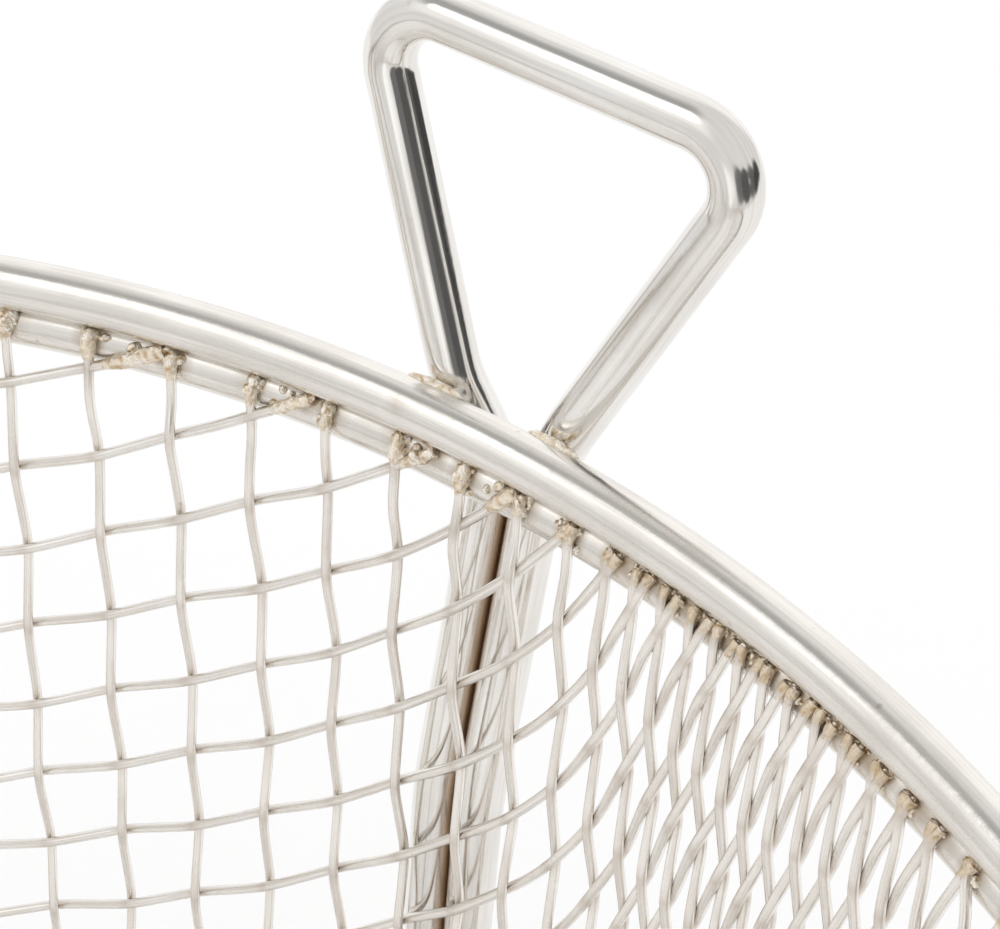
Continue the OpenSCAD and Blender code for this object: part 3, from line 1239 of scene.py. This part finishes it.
@dataclass
class Basket:
    """The whole basket: its classes of wire, built and dressed in order.

    Args:
        form: The bowl's profile.
        cloth: The woven cloth.
        route: The carrier wire's route.
        shop: Makes the materials.
    """

    form: BowlForm
    cloth: WovenCloth
    route: CarrierRoute
    shop: PlatingShop
    near_steps: int = 9
    near_sides: int = 8
    far_steps: int = 7
    far_sides: int = 6
    ring_steps: int = 720
    ring_sides: int = 36
    carrier_sides: int = 36
    braze: dict[Grade, BrazeGrade] = field(
        default_factory=lambda: {
            Grade.NEAR: BrazeGrade(steps=30, sides=12, fineness=4, crumbs=5),
            Grade.FAR: BrazeGrade(steps=12, sides=8, fineness=2, crumbs=1),
        }
    )
    neighbour_reach: float = 4 * MM
    alone: int = 1
    crowded: int = 5
    # Reaches of the painted shadow round the cloth's ends on the rings.
    shadow_core: float = 0.35 * MM
    shadow_reach: float = 1.2 * MM
    # Reach of the painted shade along the line where the rings meet.
    groove_shade_reach: float = 0.5 * MM
    rim_blemish: Vector = field(default_factory=lambda: Vector((99.3, 5.0, 133.8)) * MM)
    blemish_reach: float = 1.1 * MM
    # Reach of the painted shade between the carrier's two runs.
    gap_shade_reach: float = 0.8 * MM
    seed: int = 11

    def __post_init__(self) -> None:
        """Makes the recipes, the materials and the lists of wire ends."""
        self.sweep = SweepRecipe()
        self.lumps = LumpRecipe()
        self.nuggets = NuggetRecipe()
        self.ring_metal = self.shop.plated(RING_NICKEL)
        self.carrier_metal = self.shop.plated(CARRIER_NICKEL)
        self.cloth_metal = self.shop.plated(CLOTH_NICKEL)
        self.braze_metal = self.shop.plated(BRAZE)
        self.ends = {grade: self.cloth.ends(grade, self.braze[grade].steps) for grade in Grade}
        self.rng = np.random.default_rng(self.seed)

    def build(self) -> None:
        """Builds and dresses every piece."""
        self.build_cloth()
        self.build_ring("bead_wire_ring", self.form.bead, "bead_ring")
        self.build_ring("rim_wire_ring", self.form.rim, "rim_ring")
        self.build_carrier()
        for grade in Grade:
            self.build_braze(grade)
        self.build_hook_braze()

    def build_cloth(self) -> None:
        """Builds the cloth's wires, in four pieces that keep under the triangle limit."""
        for family in Family:
            for grade in Grade:
                near = grade is Grade.NEAR
                steps = self.near_steps if near else self.far_steps
                sides = self.near_sides if near else self.far_sides
                strands = self.cloth.strands(family, grade, steps)
                piece = line_object(f"{family.value}_wires_{grade.value}", strands)
                values = {
                    "Diameter": self.form.cloth_wire,
                    "Sides": sides,
                    "Material": self.cloth_metal,
                }
                self.sweep.run(piece, values)
                dress(piece, Slot.CLOTH, "mesh_bowl")

    def build_ring(self, name: str, ring: WireRing, node: str) -> None:
        """Builds one ring, with painted shadow round the cloth's ends, painted shade along the line where
        the rings meet, and a rust spot.

        Args:
            name: Of the piece.
            ring: Its size and place.
            node: The CAD node that it stands for.
        """
        loop = ring.loop(self.ring_steps)
        plain = np.ones(len(loop))
        piece = line_object(name, [Strand(loop, plain, 0 * plain, closed=True)])
        values = {"Diameter": ring.wire, "Sides": self.ring_sides, "Material": self.ring_metal}
        self.sweep.run(piece, values)
        spots = vertex_places(piece)
        tips = np.concatenate([end[-4:] for ends in self.ends.values() for end in ends])
        # Painted shadow: brown round the tips of the cloth's ends, where the braze shades the ring.
        shadow_by_ends = 0.8 * (1 - smoothstep(self.shadow_core, self.shadow_reach, gaps_to(spots, tips)))
        # Painted shade: brown along the line where the two rings meet.
        contact = self.form.bead.height + self.form.bead_wire / 2
        inward = np.hypot(spots[:, 0], spots[:, 1]) - ring.radius
        from_groove = np.hypot(inward, spots[:, 2] - contact)
        groove_shade = 0.5 * (1 - smoothstep(0, self.groove_shade_reach, from_groove))
        from_blemish = gaps_to(spots, np.array([self.rim_blemish]))
        blemished = 0.35 * (1 - smoothstep(0, self.blemish_reach, from_blemish))
        write_stain_and_shade(piece, np.maximum(np.maximum(shadow_by_ends, groove_shade), blemished))
        dress(piece, Slot.RINGS, node)

    def build_carrier(self) -> None:
        """Builds the closed wire of hook, cradle and handle, with painted shade between its two runs."""
        line = self.route.centreline()
        plain = np.ones(len(line))
        piece = line_object("carrier_wire_loop", [Strand(line, plain, 0 * plain, closed=True)])
        values = {
            "Diameter": self.route.wire,
            "Sides": self.carrier_sides,
            "Material": self.carrier_metal,
        }
        self.sweep.run(piece, values)
        spots = vertex_places(piece)
        # Painted shade: brown where the two runs lie side by side, below the bowl's top.
        between = 0.9 * (1 - smoothstep(0, self.gap_shade_reach, np.abs(spots[:, 1])))
        below = smoothstep(self.form.top_height, self.form.top_height - 2 * MM, spots[:, 2])
        write_stain_and_shade(piece, between * below)
        dress(piece, Slot.CARRIER, "carrier_wire")

    def build_braze(self, grade: Grade) -> None:
        """Builds the crusty braze on the cloth's ends and in the groove above them.

        Args:
            grade: Ends near the hook or the others.
        """
        fine, ends = self.braze[grade], self.ends[grade]
        tips = np.array([end[-1] for end in ends])
        apart = np.linalg.norm(tips[:, None] - tips[None], axis=-1)
        neighbours = (apart < self.neighbour_reach).sum(axis=1) - 1
        room = 1 - smoothstep(self.alone, self.crowded, neighbours)
        coats = [self.coat(end, share) for end, share in zip(ends, room)]
        self.build_coats(f"braze_coats_{grade.value}", coats, fine.sides)
        lower = np.array([end[int(0.78 * len(end))] for end in ends])[room > 0.2]
        places = np.concatenate([tips, lower])
        girth = self.rng.uniform(0.65, 1.1, len(places))
        girth[: len(tips)] *= 0.5 + 0.5 * room
        self.build_lumps(f"braze_nuggets_{grade.value}", places, girth, fine.fineness)
        crumbs = np.concatenate([self.crumbs(end, fine.crumbs) for end in ends])
        girth = self.rng.uniform(0.35, 0.65, len(crumbs)) * (0.8 + 0.5 * np.repeat(room, fine.crumbs))
        self.build_lumps(f"braze_crumbs_{grade.value}", crumbs, girth, fine.fineness - 1)

    def coat(self, end: np.ndarray, room: float) -> Strand:
        """Braze round one wire's end, which starts hidden in the wire.

        Args:
            end: The wire's last stretch.
            room: From 0 where the ends crowd together to 1 where one stands alone.

        Returns:
            The coat's middle line, with its girth and its stain.
        """
        along = np.linspace(0, 1, len(end))
        swell = 0.95 + self.rng.uniform(0.1, 0.65) * (0.3 + 0.7 * room)
        start = 0.45 - 0.3 * room
        girth = 0.6 + (swell - 0.6) * smoothstep(start, start + 0.5, along)
        stain_and_shade = self.rng.uniform(0.0, 0.2) + 0.4 * (1 - room)
        return Strand(end, girth, stain_and_shade * np.ones(len(end)))

    def crumbs(self, end: np.ndarray, count: int) -> np.ndarray:
        """Places of crumbs on the bead ring, between a wire's end and the groove.

        Args:
            end: The wire's last stretch.
            count: Number of crumbs.

        Returns:
            Rows of X, Y, Z.
        """
        bead = self.form.bead
        picked = end[self.rng.integers(len(end) // 3, len(end), count)]
        inward = bead.radius - np.hypot(picked[:, 0], picked[:, 1])
        own = np.arctan2(picked[:, 2] - bead.height, inward)
        climb = self.rng.uniform(own, self.form.groove_turn)
        aside = self.rng.uniform(-0.5, 0.5, count) * MM / bead.radius
        azimuth = np.arctan2(picked[:, 1], picked[:, 0]) + aside
        reach = self.form.bead_wire / 2
        radius = bead.radius - reach * np.cos(climb)
        height = bead.height + reach * np.sin(climb)
        return np.stack([radius * np.cos(azimuth), radius * np.sin(azimuth), height], axis=-1)

    def build_coats(self, name: str, coats: list[Strand], sides: int) -> None:
        """Builds coats of braze with a crusty surface.

        Args:
            name: Of the piece.
            coats: Their middle lines.
            sides: Of each coat's section.
        """
        piece = line_object(name, coats)
        values = {**self.crust(), "Diameter": self.form.cloth_wire, "Sides": sides}
        self.lumps.run(piece, values)
        dress(piece, Slot.RINGS)

    def build_lumps(self, name: str, places: np.ndarray, girth: np.ndarray, fineness: int) -> None:
        """Builds rough little lumps of braze.

        Args:
            name: Of the piece.
            places: Rows of X, Y, Z.
            girth: Size of each lump, in millimetres.
            fineness: Times that each ball is subdivided.
        """
        piece = line_object(name, [Strand(places, girth, np.zeros(len(places)))])
        values = {"Diameter": MM, "Fineness": fineness, "Random Seed": self.seed}
        self.nuggets.run(piece, {**self.crust(), **values})
        dress(piece, Slot.RINGS)

    def crust(self) -> dict[str, Any]:
        """Returns the values that all the braze shares."""
        return {
            "Material": self.braze_metal,
            "Lump Scale": 2800.0,
            "Lump Height": 0.38 * MM,
            "Seed": 3.0,
        }

    def build_hook_braze(self) -> None:
        """Builds the braze between the hook's legs and the rim ring."""
        rim, leg = self.form.rim, self.route.hook_neck / 2
        rise = 0.85 * MM
        seat = rim.radius + 1.42 * MM
        across = np.linspace(-1, 1, 17)
        coats = []
        for side in (-1, 1):
            azimuth = (side * leg + 1.8 * MM * across) / rim.radius
            flat = [seat * np.cos(azimuth), seat * np.sin(azimuth)]
            line = np.stack([*flat, np.full(len(across), rim.height + rise)], axis=-1)
            girth = 0.25 + 0.95 * np.sqrt(1 - across**2)
            coats.append(Strand(line, girth, 0.1 * np.ones(len(across))))
        self.build_coats("hook_braze", coats, self.braze[Grade.NEAR].sides)


@dataclass(frozen=True)
class Glow:
    """One bright or dark area of the studio, as the wires mirror it.

    Args:
        azimuth: Of its middle, from +X, in degrees.
        elevation: Of its middle, in degrees.
        reach: Angle from its middle to where it has faded out, in degrees.
        core: Angle from its middle to where it starts to fade, in degrees.
        level: Its brightness.
    """

    azimuth: float
    elevation: float
    reach: float
    core: float
    level: float

    @property
    def direction(self) -> Vector:
        """Unit vector to its middle."""
        a, e = math.radians(self.azimuth), math.radians(self.elevation)
        return Vector((math.cos(e) * math.cos(a), math.cos(e) * math.sin(a), math.sin(e)))


@dataclass
class Studio:
    """Pale floor, soft surround and the camera at the photograph's angle."""

    eye: Vector = field(default_factory=lambda: Vector((13.149, -75.111, 256.712)) * MM)
    look_azimuth: float = math.radians(38.873)
    look_down: float = math.radians(47.414)
    roll: float = math.radians(-4.224)
    picture_width: int = 1000
    picture_height: int = 929
    focal_pixels: float = 2886.0
    middle_pixel: tuple[float, float] = (542.5, 450.3)
    sensor: float = 36.0
    surround: float = 1.14
    mirrored: float = 0.82
    floor_half: float = 0.6
    glows: tuple[Glow, ...] = (
        Glow(azimuth=28, elevation=5, reach=46, core=28, level=1.12),
        Glow(azimuth=140, elevation=50, reach=34, core=14, level=1.05),
        Glow(azimuth=100, elevation=60, reach=28, core=4, level=0.42),
        Glow(azimuth=137, elevation=56, reach=17, core=12, level=1.5),
        Glow(azimuth=-166, elevation=8, reach=16, core=8, level=1.1),
        Glow(azimuth=-128, elevation=14, reach=20, core=16, level=0.16),
        Glow(azimuth=-105, elevation=10, reach=20, core=17, level=0.09),
        Glow(azimuth=-80, elevation=5, reach=19, core=14, level=0.12),
        Glow(azimuth=-56, elevation=-7, reach=21, core=15, level=0.05),
        Glow(azimuth=-90, elevation=10, reach=4, core=1, level=0.6),
    )

    def build(self) -> None:
        """Makes the camera, the surround and the floor."""
        self.build_camera()
        self.build_world()
        self.build_floor()
        bpy.context.scene.view_settings.view_transform = "Standard"

    def build_camera(self) -> None:
        """Makes the camera from its place, heading and roll."""
        azimuth, down = self.look_azimuth, self.look_down
        ahead = Vector(
            (math.cos(down) * math.cos(azimuth), math.cos(down) * math.sin(azimuth), -math.sin(down))
        )
        level = Vector((math.sin(azimuth), -math.cos(azimuth), 0))
        above = level.cross(ahead)
        right = level * math.cos(self.roll) + above * math.sin(self.roll)
        up = right.cross(ahead)
        data = bpy.data.cameras.new("photo_camera")
        data.sensor_width = self.sensor
        data.lens = self.focal_pixels * self.sensor / self.picture_width
        data.shift_x = (self.picture_width / 2 - self.middle_pixel[0]) / self.picture_width
        data.shift_y = (self.middle_pixel[1] - self.picture_height / 2) / self.picture_width
        data.clip_start = 0.01
        camera = bpy.data.objects.new("photo_camera", data)
        turned = Matrix((right, up, -ahead)).transposed()
        camera.matrix_world = Matrix.Translation(self.eye) @ turned.to_4x4()
        bpy.context.scene.collection.objects.link(camera)
        bpy.context.scene.camera = camera

    def build_world(self) -> None:
        """Makes the white surround, which the wires mirror with its glows."""
        world = bpy.data.worlds.new("studio")
        world.use_nodes = True
        bpy.context.scene.world = world
        nodes, link = world.node_tree.nodes, world.node_tree.links.new
        backdrop = nodes["Background"]
        backdrop.inputs["Color"].default_value = (1.0, 1.0, 1.0, 1.0)
        heading = nodes.new("ShaderNodeTexCoord")
        level: bpy.types.NodeSocket | None = None
        for glow in self.glows:
            facing = nodes.new("ShaderNodeVectorMath")
            facing.operation = "DOT_PRODUCT"
            facing.inputs[1].default_value = glow.direction
            link(heading.outputs["Generated"], facing.inputs[0])
            share = nodes.new("ShaderNodeMapRange")
            share.interpolation_type = "SMOOTHSTEP"
            share.inputs["From Min"].default_value = math.cos(math.radians(glow.reach))
            share.inputs["From Max"].default_value = math.cos(math.radians(glow.core))
            link(facing.outputs["Value"], share.inputs["Value"])
            mix = nodes.new("ShaderNodeMix")
            mix.inputs[2].default_value = self.mirrored
            mix.inputs[3].default_value = glow.level
            link(share.outputs["Result"], mix.inputs["Factor"])
            if level is not None:
                link(level, mix.inputs[2])
            level = mix.outputs[0]
        paths = nodes.new("ShaderNodeLightPath")
        mirrored = nodes.new("ShaderNodeMix")
        mirrored.inputs[2].default_value = self.surround
        link(paths.outputs["Is Glossy Ray"], mirrored.inputs["Factor"])
        link(level, mirrored.inputs[3])
        link(mirrored.outputs[0], backdrop.inputs["Strength"])

    def build_floor(self) -> None:
        """Makes the pale floor that the basket stands on."""
        half = self.floor_half
        mesh = bpy.data.meshes.new("floor")
        corners = [(-half, -half, 0), (half, -half, 0), (half, half, 0), (-half, half, 0)]
        mesh.from_pydata(corners, [], [(0, 1, 2, 3)])
        material = bpy.data.materials.new("pale_floor")
        material.use_nodes = True
        shader = material.node_tree.nodes["Principled BSDF"]
        shader.inputs["Base Color"].default_value = (0.9, 0.9, 0.9, 1)
        shader.inputs["Roughness"].default_value = 0.8
        shader.inputs["Specular IOR Level"].default_value = 0.2
        mesh.materials.append(material)
        floor = bpy.data.objects.new("floor", mesh)
        bpy.context.scene.collection.objects.link(floor)


def main() -> None:
    """Builds the basket and its studio."""
    logging.basicConfig(level=logging.INFO, format="%(name)s %(message)s")
    form = BowlForm()
    net = PressedNet(form)
    cloth = WovenCloth(form, net, (FrontPull(), Unevenness()))
    basket = Basket(form, cloth, CarrierRoute(form), PlatingShop())
    basket.build()
    Studio().build()


if __name__ == "__main__":
    main()
